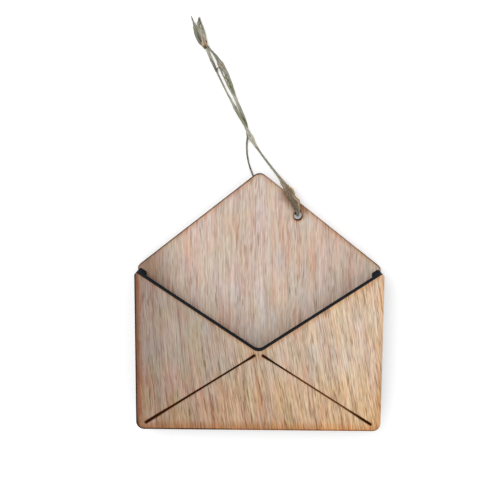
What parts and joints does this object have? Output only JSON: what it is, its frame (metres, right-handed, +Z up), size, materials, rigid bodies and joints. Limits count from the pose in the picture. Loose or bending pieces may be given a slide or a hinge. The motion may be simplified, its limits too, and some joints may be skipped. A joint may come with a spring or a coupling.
{
  "type": "gift card holder",
  "caption": "Flat wooden envelope with an open pointed flap, a pocket for a gift card or folded notes behind a V mouth, slits that draw the folds, and a knotted loop of twine.",
  "frame": {"origin": "on the table that the holder lies on, under the middle of the wood", "axes": "+X to the right across the holder, +Y from its foot to the flap's tip, +Z up, out of its front"},
  "size_m": [0.086, 0.1455, 0.0117],
  "materials": {
    "panel_wood": "bare oak-faced plywood, satin, laser-charred edges",
    "spacer_wood": "laser-charred edges",
    "twine": "matt plant fibre"
  },
  "bodies": {
    "root": {"back_panel": "panel_wood", "front_panel": "panel_wood", "spacer_frame": "spacer_wood", "twine_front_strand": "twine", "twine_rear_strand": "twine", "twine_knot": "twine", "twine_tail_left": "twine", "twine_tail_right": "twine"}
  },
  "joints": []
}
